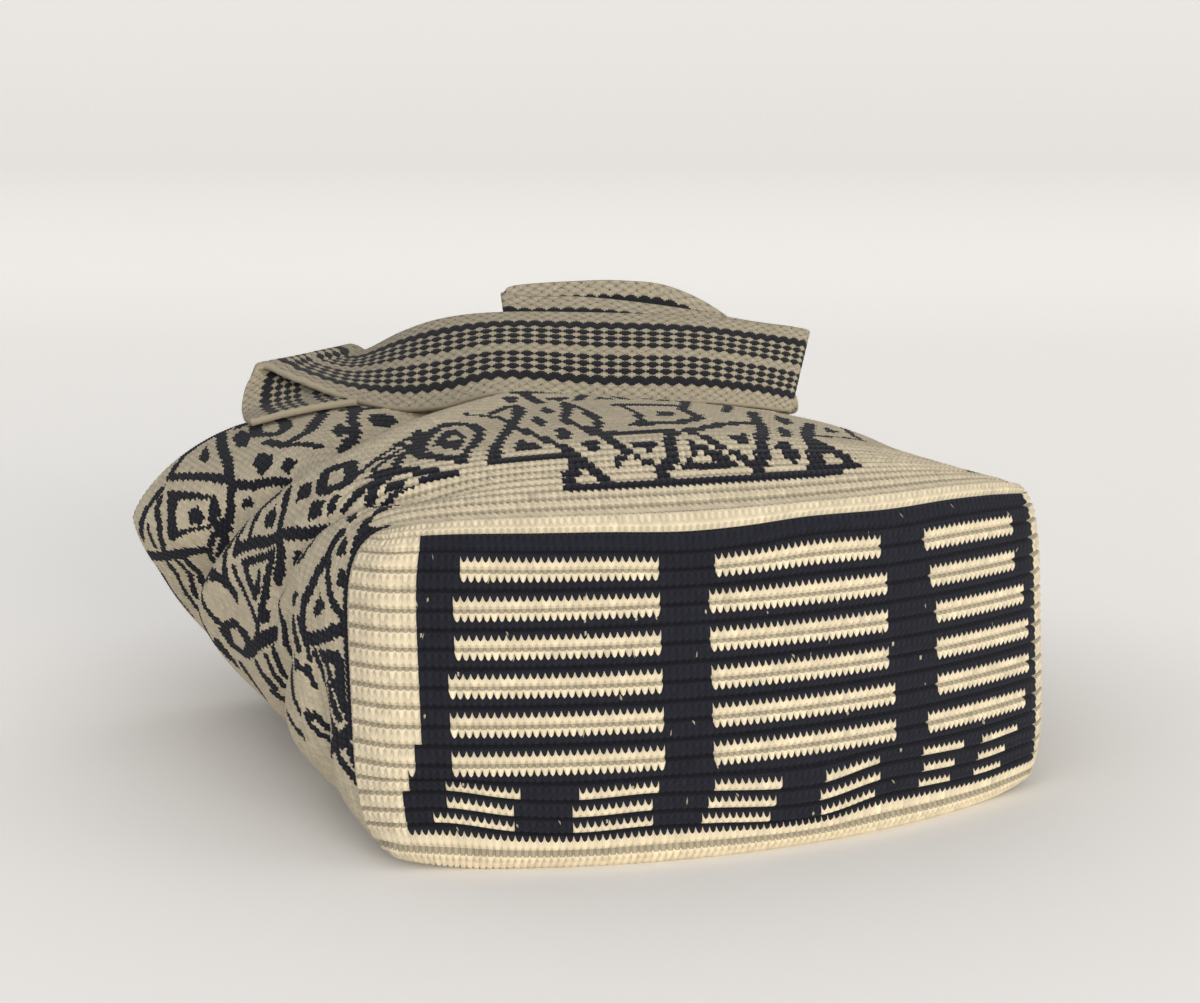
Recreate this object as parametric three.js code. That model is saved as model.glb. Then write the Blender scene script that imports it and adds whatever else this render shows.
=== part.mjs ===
import * as THREE from 'three';

// A crocheted tote bag lying on its broad back face: base panel towards -Y, mouth towards +Y.
// Driving dimensions, in millimetres and degrees.
const baseWidth = 328; // base panel, side to side
const baseHeight = 147; // base panel, floor to top edge
const baseBow = 350; // radius of the base panel's curve, seen from above
const baseTilt = 6; // how far the base panel leans back
const edgeRoll = 8; // how far the base panel's border curls back
const edgeZone = 16; // width of that curled border
const rowHeight = 3.9; // one crocheted row of the base panel
const ridgeRelief = 1.3; // height of a pair of rows above the groove beside it
const bagDepth = 300; // base to rim
const mouthWidth = 417; // across the slack mouth
const wallThickness = 4; // crocheted fabric
const roundHeight = 3.5; // one crocheted round of the body
const plainRoundCount = 8; // ridged rounds of plain colour next to the base
const roundRelief = 0.9; // depth of the groove between ridged rounds
const strapWidth = 70; // woven shoulder strap
const strapThickness = 3; // woven shoulder strap
const seamGap = 0.3; // between pieces that meet

// Cross-sections of the body from the base to the rim. along is a share of the depth, spread goes from
// the base width (0) to the mouth width (1), and drift to the right, the heights of the top and of the
// left and right side, the droop of the right shoulder and sink, which the floor flattens, are shares of
// the base height. boxLeft and boxRight say how boxy the corners of the left and right side are.
const sectionKeys = [
  'along', 'spread', 'drift', 'top', 'left', 'right', 'droop', 'sink', 'boxLeft', 'boxRight',
];
const sections = [
  [0.00, 0.00, 0, 1.00, 0.50, 0.49, 0, 0.014, 5.0, 5.0],
  [0.06, 0.13, -0.007, 1.05, 0.52, 0.49, 0.021, 0.042, 3.4, 3.2],
  [0.25, 0.29, -0.021, 1.13, 0.55, 0.49, 0.056, 0.056, 2.4, 2.0],
  [0.50, 0.43, -0.035, 1.15, 0.57, 0.49, 0.035, 0.056, 1.9, 1.7],
  [0.75, 0.69, -0.056, 1.13, 0.63, 0.50, 0.063, 0.042, 1.6, 1.6],
  [1.00, 1.00, -0.070, 1.11, 0.69, 0.52, 0.112, 0.028, 1.35, 1.5],
];
const mouthLean = 10; // the mouth's upper edge lies this much further back than its lower edge
const baseReach = 0.9; // share of depth over which the base panel's curve dies out of the body
const baseFade = 1.5; // how fast it dies out

// Folds of the slack wall. Each line runs through points of (share around, share of depth). The wall
// drops by depth behind the line, over widths towards the base and the mouth, and rises by roll before
// it. depth and roll are shares of the base height, the widths are shares of the depth.
const folds = [
  {
    line: [[0.235, 0.78], [0.29, 0.60], [0.345, 0.455], [0.40, 0.60], [0.47, 0.80]],
    depth: 0.14, baseSide: 0.04, mouthSide: 0.14, roll: 0.063,
  },
  {
    line: [[0.27, 0.34], [0.315, 0.20], [0.355, 0.10]],
    depth: 0.042, baseSide: 0.033, mouthSide: 0.047, roll: 0,
  },
  {
    line: [[0.13, 0.62], [0.19, 0.42], [0.25, 0.24]],
    depth: 0.056, baseSide: 0.037, mouthSide: 0.06, roll: 0.014,
  },
  {
    line: [[0.12, 0.26], [0.18, 0.16], [0.23, 0.09]],
    depth: 0.035, baseSide: 0.03, mouthSide: 0.04, roll: 0,
  },
];
const fadeShare = 0.03; // share around over which a fold dies out past its ends
const rollPlace = 0.087; // share of depth by which a roll's crest stands before its fold line
const rollSpread = 0.073; // share of depth from a roll's crest to where it has nearly died out
const foldPlace = 0.6; // share of depth of the mesh row that is led along the first fold
const leadShare = 0.07; // share around over which that row returns to its own place

// The strap's front edge, station by station: x in % of half the base width, y in % of the depth, z in %
// of the base height, then the heading and lean of its width in degrees, its span as a share of the strap
// width, and the rise of its middle in % of the strap width.
const strapRoute = [
  [-98, 92, 103.5, 2, 6.5, 1.00, 3],
  [-98, 100, 104, 2, 6.5, 1.00, 3],
  [-95, 106, 110.5, 10, 3, 1.02, 3],
  [-91, 109, 116, 21, 2, 1.07, 1.5],
  [-88, 108, 119, 38, 2, 1.07, 0],
  [-80, 102, 115.5, 56, 4, 1.03, 0],
  [-68, 95, 112.5, 66, 9, 1.00, 1.5],
  [-55, 87, 113, 70, 20, 1.00, 3],
  [-42, 81, 115, 72, 29, 1.00, 3],
  [-26, 75, 119.7, 71, 32, 1.00, 3],
  [2, 68.7, 116.2, 70, 30, 1.00, 3],
  [30, 66, 113, 66, 29, 1.00, 3],
  [52, 68.3, 109, 60, 28, 1.00, 1.5],
  [66, 71.3, 107, 56, 27, 1.00, 0],
  [70, 73.7, 105.5, 56, 27, 1.00, 0],
  [68, 76.3, 105.5, 57, 28, 1.00, 0],
  [54, 76.7, 107, 60, 30, 1.00, 0],
  [30, 74.7, 111.2, 66, 33, 1.00, 1.5],
  [5, 76.7, 114.2, 72, 35, 1.00, 1.5],
  [-11, 80, 114, 78, 36, 1.00, 0],
  [-16, 82.7, 114, 80, 38, 1.00, 0],
  [-11, 85.3, 113.5, 80, 42, 1.00, 0],
  [6, 84, 112.5, 80, 46, 1.00, 0],
  [23, 82.7, 111.5, 78, 48, 1.00, 0],
  [37, 82.7, 110.5, 70, 44, 1.00, 0],
  [44, 85.3, 109, 48, 28, 1.00, 0],
  [49, 90, 106.5, 22, 4, 1.00, 1.5],
  [51, 94.7, 104, 4, -8, 1.00, 3],
  [51, 100, 103.5, 0, -12, 1.00, 3],
];

// Mesh density.
const floorShare = 0.12; // share around of the flat floor, either side of its middle
const foldShare = 0.49; // share around where the folded part ends
const floorColumnCount = 8;
const foldColumnCount = 36;
const farColumnCount = 20;
const wallRowCount = 26;
const baseColumnCount = 24;
const strapStepCount = 3;
const strapStripCount = 4;
const loopCount = 360;
const ringCount = 60;

// A smooth value through hand-placed ones.
function smoothThrough(places, values, at) {
  const last = places.length - 1;
  const slope = (i) => {
    const before = Math.max(i - 1, 0);
    const after = Math.min(i + 1, last);
    return (values[after] - values[before]) / (places[after] - places[before]);
  };
  const inside = Math.min(Math.max(at, places[0]), places[last]);
  let i = 0;
  while (i < last - 1 && inside > places[i + 1]) i += 1;
  const step = places[i + 1] - places[i];
  const f = (inside - places[i]) / step;
  const f2 = f * f;
  const f3 = f2 * f;
  return (2 * f3 - 3 * f2 + 1) * values[i] + (f3 - 2 * f2 + f) * step * slope(i)
    + (3 * f2 - 2 * f3) * values[i + 1] + (f3 - f2) * step * slope(i + 1);
}

// The body's cross-section at a share of the depth.
function sectionAt(along) {
  const places = sections.map((section) => section[0]);
  const section = {};
  sectionKeys.forEach((key, k) => {
    section[key] = smoothThrough(places, sections.map((one) => one[k]), along);
  });
  return section;
}

// The place of (s, t), each from -1 to 1, on a cross-section that is a square with rounded corners.
function sectionPoint(section, s, t) {
  const box = s < 0 ? section.boxLeft : section.boxRight;
  const corner = 1 - Math.abs(s * t) ** box / (2 * box + 1);
  const half = (baseWidth + (mouthWidth - baseWidth) * section.spread) / 2;
  const x = baseHeight * section.drift + half * s * corner;
  const side = baseHeight * (section.left + (section.right - section.left) * (s + 1) / 2);
  const top = baseHeight * (section.top - section.droop * Math.max(s, 0));
  const bottom = -baseHeight * section.sink;
  const z = side + (t < 0 ? side - bottom : top - side) * t * corner;
  return [x, Math.max(z, 0)];
}

// How far back the base panel's face lies at x and z.
function baseFace(x, z) {
  const lean = Math.tan(THREE.MathUtils.degToRad(baseTilt));
  return x * x / (2 * baseBow) + lean * (z - baseHeight / 2);
}

// One ring of the body: from the middle of the floor to the left side, over the top, to the right side.
function ringAt(along, shares) {
  const section = sectionAt(along);
  const fade = Math.max(0, 1 - along / baseReach) ** baseFade;
  const seat = (edgeRoll + wallThickness + seamGap) * (1 - along);
  const loop = [];
  for (let i = 0; i <= loopCount; i += 1) {
    const turn = 2 * Math.PI * i / loopCount;
    const big = Math.max(Math.abs(Math.sin(turn)), Math.abs(Math.cos(turn)));
    const [x, z] = sectionPoint(section, -Math.sin(turn) / big, -Math.cos(turn) / big);
    const lean = mouthLean * along * (z / baseHeight - 0.5);
    loop.push(new THREE.Vector3(x, seat + bagDepth * along + fade * baseFace(x, z) + lean, z));
  }
  const run = [0];
  for (let i = 1; i <= loopCount; i += 1) run.push(run[i - 1] + loop[i].distanceTo(loop[i - 1]));
  return shares.map((share) => {
    const target = share * run[loopCount];
    let i = 1;
    while (i < loopCount && run[i] < target) i += 1;
    const f = (target - run[i - 1]) / (run[i] - run[i - 1]);
    return loop[i - 1].clone().lerp(loop[i], f);
  });
}

// A row's place along the depth, led along the first fold so that the fold falls on mesh edges.
function ledAlong(around, along) {
  const places = folds[0].line.map((point) => point[0]);
  const past = Math.max(places[0] - around, around - places[places.length - 1], 0) / leadShare;
  const line = smoothThrough(places, folds[0].line.map((point) => point[1]), around);
  const lead = (line - foldPlace) * Math.exp(-past * past);
  const share = along < foldPlace ? along / foldPlace : (1 - along) / (1 - foldPlace);
  return along + lead * share * share * (3 - 2 * share);
}

// How far the folds push the wall out, at a share around and along.
function foldAt(around, along) {
  let push = 0;
  for (const fold of folds) {
    const places = fold.line.map((point) => point[0]);
    const past = Math.max(places[0] - around, around - places[places.length - 1], 0) / fadeShare;
    const behind = along - smoothThrough(places, fold.line.map((point) => point[1]), around);
    const width = behind < 0 ? fold.baseSide : fold.mouthSide;
    const drop = fold.depth * Math.exp(-((behind / width) ** 2));
    const rise = fold.roll * Math.exp(-(((behind + rollPlace) / rollSpread) ** 2));
    push += baseHeight * (rise - drop) * Math.exp(-past * past);
  }
  return push;
}

// Outward normals of a grid of points; wraps says whether its rows close on themselves.
function gridNormals(grid, wraps) {
  return grid.map((row, r) => row.map((_, c) => {
    const n = row.length;
    const next = wraps ? (c + 1) % n : Math.min(c + 1, n - 1);
    const back = wraps ? (c + n - 1) % n : Math.max(c - 1, 0);
    const across = row[next].clone().sub(row[back]);
    const above = grid[Math.min(r + 1, grid.length - 1)][c];
    const down = above.clone().sub(grid[Math.max(r - 1, 0)][c]);
    return across.cross(down).normalize();
  }));
}

// A closed skin from two grids of points, the outer one and the inner one behind it.
function shellGeometry(outer, inner, wraps) {
  const rows = outer.length;
  const columns = outer[0].length;
  const positions = [];
  for (const grid of [outer, inner]) {
    for (const row of grid) for (const p of row) positions.push(p.x, p.y, p.z);
  }
  const id = (side, r, c) => side * rows * columns + r * columns + (c % columns);
  const index = [];
  const quad = (a, b, c, d) => index.push(a, b, c, a, c, d);
  const spans = wraps ? columns : columns - 1;
  for (let r = 0; r < rows - 1; r += 1) {
    for (let c = 0; c < spans; c += 1) {
      quad(id(0, r, c), id(0, r, c + 1), id(0, r + 1, c + 1), id(0, r + 1, c));
      quad(id(1, r, c), id(1, r + 1, c), id(1, r + 1, c + 1), id(1, r, c + 1));
    }
  }
  for (let c = 0; c < spans; c += 1) {
    quad(id(0, 0, c), id(1, 0, c), id(1, 0, c + 1), id(0, 0, c + 1));
    quad(id(0, rows - 1, c), id(0, rows - 1, c + 1), id(1, rows - 1, c + 1), id(1, rows - 1, c));
  }
  if (!wraps) {
    for (let r = 0; r < rows - 1; r += 1) {
      quad(id(0, r, 0), id(0, r + 1, 0), id(1, r + 1, 0), id(1, r, 0));
      quad(id(0, r, spans), id(1, r, spans), id(1, r + 1, spans), id(0, r + 1, spans));
    }
  }
  const geometry = new THREE.BufferGeometry();
  geometry.setAttribute('position', new THREE.Float32BufferAttribute(positions, 3));
  geometry.setIndex(index);
  geometry.computeVertexNormals();
  return geometry;
}

// Even steps from one share to the next, without the last.
function sharesBetween(from, to, count) {
  return Array.from({ length: count }, (_, i) => from + (to - from) * i / count);
}

// The body: one wall worked in rounds up from the base's edge, open at the mouth, slack and folded.
function bodyGeometry() {
  const shares = [
    ...sharesBetween(0, floorShare, floorColumnCount / 2),
    ...sharesBetween(floorShare, foldShare, foldColumnCount),
    ...sharesBetween(foldShare, 1 - floorShare, farColumnCount),
    ...sharesBetween(1 - floorShare, 1, floorColumnCount / 2),
  ];
  const ridgeEnd = plainRoundCount * roundHeight / bagDepth;
  const frontRows = Math.round(wallRowCount * (foldPlace - ridgeEnd) / (1 - ridgeEnd));
  const places = [
    ...sharesBetween(0, ridgeEnd, plainRoundCount),
    ...sharesBetween(ridgeEnd, foldPlace, frontRows),
    ...sharesBetween(foldPlace, 1, wallRowCount - frontRows),
    1,
  ];
  const rings = [...sharesBetween(0, 1, ringCount), 1].map((along) => ringAt(along, shares));
  const smooth = places.map((along) => shares.map((around, c) => {
    const place = ledAlong(around, along) * ringCount;
    const r = Math.min(Math.floor(place), ringCount - 1);
    return rings[r][c].clone().lerp(rings[r + 1][c], place - r);
  }));
  const normals = gridNormals(smooth, true);
  const outer = smooth.map((ring, r) => ring.map((point, c) => {
    const groove = r < plainRoundCount && r % 2 === 1 ? roundRelief : 0;
    const push = foldAt(shares[c], ledAlong(shares[c], places[r])) - groove;
    const moved = point.clone().addScaledVector(normals[r][c], push);
    moved.z = Math.max(moved.z, 0);
    return moved;
  }));
  const outward = gridNormals(outer, true);
  const inner = outer.map((ring, r) => ring.map((point, c) => {
    const direction = outward[r][c].clone();
    if (r === 0) direction.setY(0).normalize();
    return point.clone().addScaledVector(direction, -wallThickness);
  }));
  return shellGeometry(outer, inner, true);
}

// The base panel: worked flat in rows, each pair of rows a ridge, its border curled back to the body.
function basePanelGeometry() {
  const section = sectionAt(0);
  const pairs = Math.round(baseHeight / (2 * rowHeight));
  const outer = [];
  for (let r = 0; r <= 2 * pairs; r += 1) {
    const t = -1 + r / pairs;
    const row = [];
    for (let c = 0; c <= baseColumnCount; c += 1) {
      const s = -1 + 2 * c / baseColumnCount;
      const [x, z] = sectionPoint(section, s, t);
      const toEdge = Math.min((1 - Math.abs(s)) * baseWidth, (1 - Math.abs(t)) * baseHeight) / 2;
      const curl = edgeRoll * Math.max(0, 1 - toEdge / edgeZone) ** 2;
      const ridge = r % 2 === 1 ? ridgeRelief : 0;
      row.push(new THREE.Vector3(x, baseFace(x, z) + curl - ridge, z));
    }
    outer.push(row);
  }
  const inner = outer.map((row, r) => row.map((point) => {
    const back = r % 2 === 1 ? wallThickness + ridgeRelief : wallThickness;
    return point.clone().add(new THREE.Vector3(0, back, 0));
  }));
  return shellGeometry(outer, inner, false);
}

// The strap: one woven band sewn to the mouth at both ends, folded to and fro on top of the bag.
function strapGeometry() {
  const curve = (points) => new THREE.CatmullRomCurve3(points, false, 'catmullrom', 0.5);
  const feet = [];
  const tops = [];
  for (const [x, y, z, heading, lean, span] of strapRoute) {
    const foot = new THREE.Vector3(x * baseWidth / 200, y * bagDepth / 100, z * baseHeight / 100);
    const polar = THREE.MathUtils.degToRad(90 - lean);
    const turn = THREE.MathUtils.degToRad(90 - heading);
    const side = new THREE.Vector3().setFromSphericalCoords(1, polar, turn);
    const across = new THREE.Vector3(side.x, side.z, side.y);
    feet.push(foot);
    tops.push(foot.clone().addScaledVector(across, strapWidth * span));
  }
  const footCurve = curve(feet);
  const topCurve = curve(tops);
  const stationPlaces = strapRoute.map((_, i) => i);
  const bows = strapRoute.map((station) => station[6]);
  const steps = (strapRoute.length - 1) * strapStepCount;
  const middle = [];
  for (let i = 0; i <= steps; i += 1) {
    const foot = footCurve.getPoint(i / steps);
    const top = topCurve.getPoint(i / steps);
    const bow = smoothThrough(stationPlaces, bows, i / strapStepCount) * strapWidth / 100;
    const row = [];
    for (let k = 0; k <= strapStripCount; k += 1) {
      const f = k / strapStripCount;
      const point = foot.clone().lerp(top, f);
      point.z += bow * 4 * f * (1 - f);
      row.push(point);
    }
    middle.push(row);
  }
  const normals = gridNormals(middle, false);
  const offset = (distance) => middle.map((row, r) => row.map((point, c) => (
    point.clone().addScaledVector(normals[r][c], distance))));
  return shellGeometry(offset(strapThickness / 2), offset(-strapThickness / 2), false);
}

const cream = new THREE.MeshStandardMaterial({ color: 0xcfbf9f, roughness: 0.92, metalness: 0 });
const navy = new THREE.MeshStandardMaterial({ color: 0x1d2130, roughness: 0.92, metalness: 0 });
const band = new THREE.MeshStandardMaterial({ color: 0x9b917f, roughness: 0.9, metalness: 0 });

function piece(name, geometry, material) {
  const mesh = new THREE.Mesh(geometry, material);
  mesh.name = name;
  return mesh;
}

const bag = new THREE.Group();
bag.add(piece('base_panel', basePanelGeometry(), navy));
bag.add(piece('body', bodyGeometry(), cream));
bag.add(piece('shoulder_strap', strapGeometry(), band));

// The origin is the middle of the whole bag's outline, on the floor.
const outline = new THREE.Box3().setFromObject(bag);
const centre = outline.getCenter(new THREE.Vector3());
bag.position.set(-centre.x, -centre.y, -outline.min.z);

export default bag;
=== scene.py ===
import math
import bpy
import numpy as np
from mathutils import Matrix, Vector


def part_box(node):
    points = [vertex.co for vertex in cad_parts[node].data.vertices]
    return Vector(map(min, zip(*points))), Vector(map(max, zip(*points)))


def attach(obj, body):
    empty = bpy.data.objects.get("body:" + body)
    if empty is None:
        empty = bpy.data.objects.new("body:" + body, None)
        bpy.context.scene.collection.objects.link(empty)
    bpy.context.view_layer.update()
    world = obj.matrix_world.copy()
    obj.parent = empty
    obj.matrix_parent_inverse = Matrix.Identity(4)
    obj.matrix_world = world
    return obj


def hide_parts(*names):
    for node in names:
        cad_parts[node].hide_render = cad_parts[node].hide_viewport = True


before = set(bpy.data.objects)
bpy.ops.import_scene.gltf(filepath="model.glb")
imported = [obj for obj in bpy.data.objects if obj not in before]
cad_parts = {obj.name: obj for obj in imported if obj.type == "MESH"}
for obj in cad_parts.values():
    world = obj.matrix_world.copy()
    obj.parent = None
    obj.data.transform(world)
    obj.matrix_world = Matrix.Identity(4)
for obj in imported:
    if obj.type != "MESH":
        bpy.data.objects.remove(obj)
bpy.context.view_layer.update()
scene = bpy.context.scene
rng = np.random.default_rng(11)

# the bag's shape in millimetres, in its own frame: base towards -Y, mouth towards +Y, floor at 0
bag = {
    "baseWidth": 328.0, "baseHeight": 147.0, "baseBow": 350.0, "baseTilt": 6.0,
    "edgeRoll": 8.0, "edgeZone": 16.0, "depth": 300.0, "mouthWidth": 417.0,
    "wall": 4.0, "seam": 4.3, "mouthLean": 10.0, "baseReach": 0.9, "baseFade": 1.5,
    "ridgeRelief": 1.3, "baseGrid": (25, 39),
    # along, spread, drift, top, left, right, droop, sink, boxiness left and right
    "sections": [
        (0.00, 0.00, 0.000, 1.00, 0.50, 0.49, 0.000, 0.014, 5.00, 5.0),
        (0.06, 0.13, -0.007, 1.05, 0.52, 0.49, 0.021, 0.042, 3.40, 3.2),
        (0.25, 0.29, -0.021, 1.13, 0.55, 0.49, 0.056, 0.056, 2.40, 2.0),
        (0.50, 0.43, -0.035, 1.15, 0.57, 0.49, 0.035, 0.056, 1.90, 1.7),
        (0.75, 0.69, -0.056, 1.13, 0.63, 0.50, 0.063, 0.042, 1.60, 1.6),
        (1.00, 1.00, -0.070, 1.11, 0.69, 0.52, 0.112, 0.028, 1.35, 1.5),
    ],
    # fold lines, how deep they drop, their widths to the base and the mouth, the roll before them
    "folds": [
        ([(0.235, 0.78), (0.29, 0.60), (0.345, 0.455), (0.40, 0.60), (0.47, 0.80)],
         0.14, 0.04, 0.14, 0.025),
        ([(0.27, 0.34), (0.315, 0.20), (0.355, 0.10)], 0.042, 0.033, 0.047, 0.0),
        ([(0.13, 0.62), (0.19, 0.42), (0.25, 0.24)], 0.056, 0.037, 0.06, 0.014),
        ([(0.12, 0.26), (0.18, 0.16), (0.23, 0.09)], 0.035, 0.03, 0.04, 0.0),
    ],
    "fadeShare": 0.03, "rollPlace": 0.087, "rollSpread": 0.073,
}


def smoothThrough(places, values, at):
    k, c = np.asarray(places, float), np.asarray(values, float)
    n = len(k)
    lo, hi = np.maximum(np.arange(n) - 1, 0), np.minimum(np.arange(n) + 1, n - 1)
    slope = (c[hi] - c[lo]) / (k[hi] - k[lo])
    x = np.clip(at, k[0], k[-1])
    i = np.clip(np.searchsorted(k, x, side="right") - 1, 0, n - 2)
    step = k[i + 1] - k[i]
    f = (x - k[i]) / step
    return ((2 * f**3 - 3 * f**2 + 1) * c[i] + (f**3 - 2 * f**2 + f) * step * slope[i]
            + (3 * f**2 - 2 * f**3) * c[i + 1] + (f**3 - f**2) * step * slope[i + 1])


def sectionAt(v):
    table = np.array(bag["sections"])
    return [smoothThrough(table[:, 0], table[:, k], v) for k in range(1, 10)]


def sectionPoint(section, s, t):
    spread, drift, top, left, right, droop, sink, boxLeft, boxRight = section
    high = bag["baseHeight"]
    box = np.where(s < 0, boxLeft, boxRight)
    corner = 1 - np.abs(s * t) ** box / (2 * box + 1)
    half = (bag["baseWidth"] + (bag["mouthWidth"] - bag["baseWidth"]) * spread) / 2
    side = left + (right - left) * (s + 1) / 2
    lift = np.where(t < 0, side + sink, top - droop * np.maximum(s, 0) - side)
    return high * drift + half * s * corner, np.maximum(high * (side + lift * t * corner), 0)


def baseFace(x, z):
    tilt = math.tan(math.radians(bag["baseTilt"]))
    return x * x / (2 * bag["baseBow"]) + tilt * (z - bag["baseHeight"] / 2)


def basePoints(s, t):
    x, z = sectionPoint(sectionAt(0), s, t)
    toEdge = np.minimum((1 - np.abs(s)) * bag["baseWidth"], (1 - np.abs(t)) * bag["baseHeight"]) / 2
    y = baseFace(x, z) + bag["edgeRoll"] * np.maximum(0, 1 - toEdge / bag["edgeZone"]) ** 2
    return np.stack([x, y, z], -1)


def ringPoints(v, shares):
    turn = np.linspace(0, 2 * np.pi, 1441)
    s, t = -np.sin(turn), -np.cos(turn)
    big = np.maximum(np.abs(s), np.abs(t))
    x, z = sectionPoint(sectionAt(v), s / big, t / big)
    fade = max(0, 1 - v / bag["baseReach"]) ** bag["baseFade"]
    y = ((bag["edgeRoll"] + bag["seam"]) * (1 - v) + bag["depth"] * v + fade * baseFace(x, z)
         + bag["mouthLean"] * v * (z / bag["baseHeight"] - 0.5))
    loop = np.stack([x, y, z], -1)
    run = np.concatenate([[0], np.cumsum(np.linalg.norm(np.diff(loop, axis=0), axis=1))])
    return np.stack([np.interp(shares * run[-1], run, loop[:, c]) for c in range(3)], -1)


def foldAt(u, v):
    push = np.zeros(np.broadcast(u, v).shape)
    for line, depth, baseSide, mouthSide, roll in bag["folds"]:
        lu, lv = zip(*line)
        past = np.maximum(np.maximum(lu[0] - u, u - lu[-1]), 0) / bag["fadeShare"]
        behind = v - smoothThrough(lu, lv, u)
        width = np.where(behind < 0, baseSide, mouthSide)
        rise = roll * np.exp(-((behind + bag["rollPlace"]) / bag["rollSpread"]) ** 2)
        push = push + (rise - depth * np.exp(-(behind / width) ** 2)) * np.exp(-past**2)
    return push * bag["baseHeight"]


def gridNormals(grid, wraps):
    if wraps:
        du = np.roll(grid, -1, 1) - np.roll(grid, 1, 1)
    else:
        du = np.gradient(grid, axis=1)
    n = np.cross(du, np.gradient(grid, axis=0))
    return n / (np.linalg.norm(n, axis=-1, keepdims=True) + 1e-9)


# where the bag's own frame sits in the shared one, from the front of the CAD base with its ridged rows
low, high = [np.array(corner) * 1000 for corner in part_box("base_panel")]
cadFace = basePoints(*np.meshgrid(*[np.linspace(-1, 1, count) for count in bag["baseGrid"]]))
cadFace[1::2, :, 1] -= bag["ridgeRelief"]
shift = np.array([(low[0] + high[0]) / 2, low[1] - cadFace[..., 1].min(), 0.0])
print("bag frame sits at", shift.round(3))


def makePiece(name, points, quads, faceValues, material):
    mesh = bpy.data.meshes.new(name)
    mesh.vertices.add(len(points))
    mesh.vertices.foreach_set("co", ((points + shift) / 1000).astype(np.float32).ravel())
    mesh.loops.add(quads.size)
    mesh.loops.foreach_set("vertex_index", quads.astype(np.int32).ravel())
    mesh.polygons.add(len(quads))
    mesh.polygons.foreach_set("loop_start", np.arange(0, quads.size, 4, dtype=np.int32))
    mesh.update(calc_edges=True)
    for key, values in faceValues.items():
        layer = mesh.attributes.new(key, "FLOAT", "FACE")
        layer.data.foreach_set("value", values.astype(np.float32).ravel())
    mesh.shade_smooth()
    mesh.materials.append(material)
    piece = bpy.data.objects.new(name, mesh)
    scene.collection.objects.link(piece)
    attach(piece, "root")
    print(name, len(quads) * 2, "triangles")
    return piece


def gridQuads(rows, columns, wraps, flip=False):
    r, c = np.meshgrid(np.arange(rows - 1), np.arange(columns if wraps else columns - 1), indexing="ij")
    d = (c + 1) % columns
    a, b = r * columns + c, r * columns + d
    quads = np.stack([a, b, b + columns, a + columns], -1).reshape(-1, 4)
    return quads[:, ::-1] if flip else quads


# yarn: cream and navy by each stitch's attribute, a soft fuzz, a fine twist as bump
yarn = {
    "cream": (0.87, 0.745, 0.515), "navy": (0.0165, 0.0175, 0.025), "rough": 0.95, "shine": 0.2,
    "sheen": 0.08, "sheenRough": 0.6, "fuzz": 0.35, "fuzzScale": 1500.0, "fuzzDepth": 0.0004,
}


def yarnMaterial(name):
    mat = bpy.data.materials.new(name)
    mat.use_nodes = True
    nodes, links = mat.node_tree.nodes, mat.node_tree.links
    bsdf = nodes["Principled BSDF"]
    bsdf.inputs["Roughness"].default_value = yarn["rough"]
    bsdf.inputs["Sheen Weight"].default_value = yarn["sheen"]
    bsdf.inputs["Sheen Roughness"].default_value = yarn["sheenRough"]
    bsdf.inputs["Specular IOR Level"].default_value = yarn["shine"]
    tint, tone = nodes.new("ShaderNodeAttribute"), nodes.new("ShaderNodeAttribute")
    tint.attribute_name, tone.attribute_name = "navy", "tone"
    mix = nodes.new("ShaderNodeMix")
    mix.data_type = "RGBA"
    mix.inputs["A"].default_value = (*yarn["cream"], 1)
    mix.inputs["B"].default_value = (*yarn["navy"], 1)
    links.new(tint.outputs["Fac"], mix.inputs["Factor"])
    # each face's tone multiplies the colour: its random tone together with painted light and shade from the
    # relief
    shade = nodes.new("ShaderNodeMix")
    shade.data_type, shade.blend_type = "RGBA", "MULTIPLY"
    shade.inputs["Factor"].default_value = 1.0
    links.new(mix.outputs["Result"], shade.inputs["A"])
    links.new(tone.outputs["Fac"], shade.inputs["B"])
    links.new(shade.outputs["Result"], bsdf.inputs["Base Color"])
    coords = nodes.new("ShaderNodeTexCoord")
    noise = nodes.new("ShaderNodeTexNoise")
    noise.inputs["Scale"].default_value = yarn["fuzzScale"]
    noise.inputs["Detail"].default_value = 3.0
    links.new(coords.outputs["Object"], noise.inputs["Vector"])
    bump = nodes.new("ShaderNodeBump")
    bump.inputs["Strength"].default_value = yarn["fuzz"]
    bump.inputs["Distance"].default_value = yarn["fuzzDepth"]
    links.new(noise.outputs["Fac"], bump.inputs["Height"])
    links.new(bump.outputs["Normal"], bsdf.inputs["Normal"])
    return mat


yarnMat = yarnMaterial("yarn")

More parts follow.
